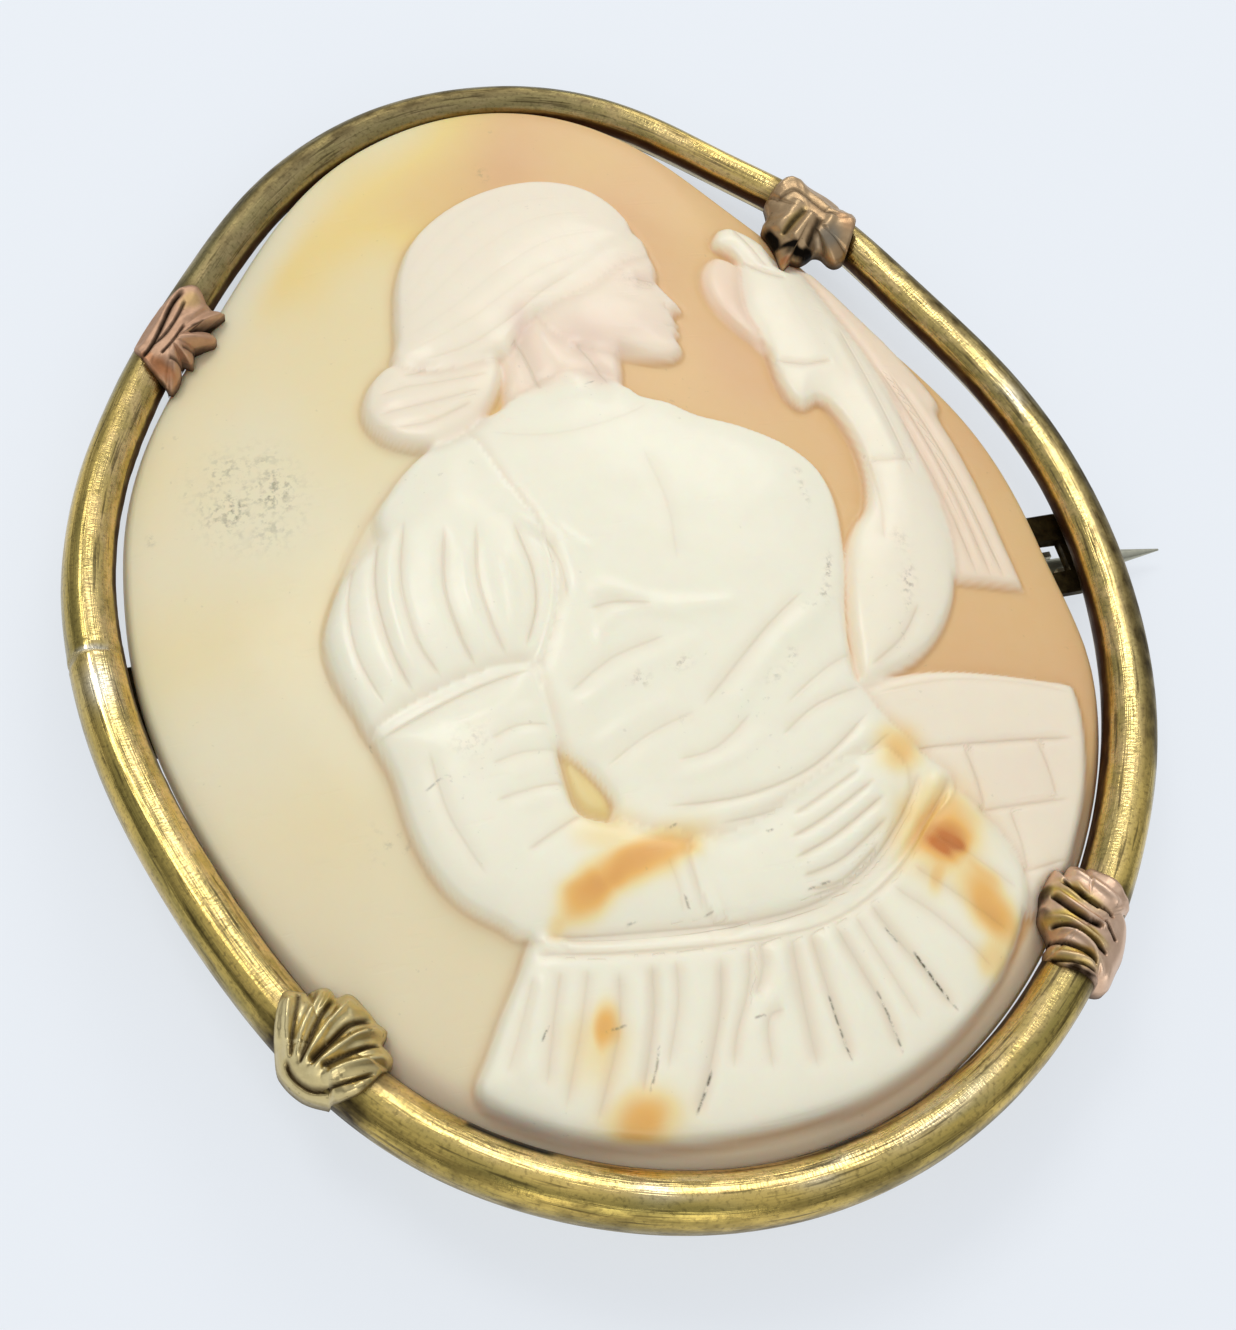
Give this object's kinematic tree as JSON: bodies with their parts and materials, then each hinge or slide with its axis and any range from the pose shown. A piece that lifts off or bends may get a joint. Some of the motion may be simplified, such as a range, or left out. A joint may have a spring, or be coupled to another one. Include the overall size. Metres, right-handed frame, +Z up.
{
  "type": "cameo brooch",
  "caption": "Oval carved shell cameo of a woman seen from behind, held by scallop claws in a bent brass tube frame with a hinge, a catch and a straight pin.",
  "frame": {"origin": "middle of the bounding box, on the surface that the brooch lies on", "axes": "+X towards the pin's point, +Y towards the figure's head, +Z up out of the face; the brooch lies on its hinge, its catch and the top of its tube"},
  "size_m": [0.0538, 0.0612, 0.009],
  "materials": {
    "carved_shell": "satin polished shell, ivory carving on an orange and cream ground",
    "gilt_brass": "worn, brushed along the tube, with darker tarnish in the corners",
    "pin_metal": "dull grey white metal"
  },
  "bodies": {
    "root": {"shell_cameo": "carved_shell", "rim": "gilt_brass", "pin_stem": "pin_metal"}
  },
  "joints": []
}
